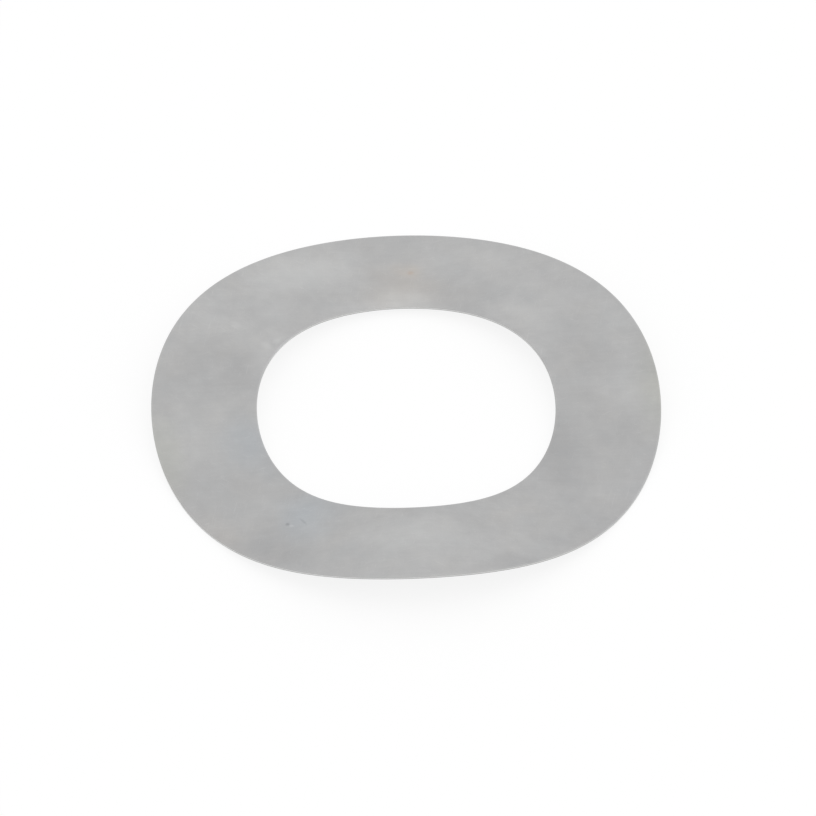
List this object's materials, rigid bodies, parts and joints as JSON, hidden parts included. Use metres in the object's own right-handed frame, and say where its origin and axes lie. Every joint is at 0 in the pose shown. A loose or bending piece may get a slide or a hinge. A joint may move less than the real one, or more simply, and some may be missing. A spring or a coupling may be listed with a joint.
{
  "type": "wave thrust washer",
  "caption": "Thin round spring-steel thrust washer pressed into shallow waves, with a large central hole for a shaft.",
  "frame": {"origin": "on the axis of the hole, on the surface that the washer lies on", "axes": "+Z along the axis of the hole, up from the surface that the washer lies on; -Y towards the highest crest; +X across"},
  "size_m": [0.035, 0.035, 0.0026],
  "materials": {
    "spring_steel": "cold-rolled and tumbled, satin grey, with a faint rolling grain and fine handling scratches"
  },
  "bodies": {
    "root": {"washer": "spring_steel"}
  },
  "joints": []
}
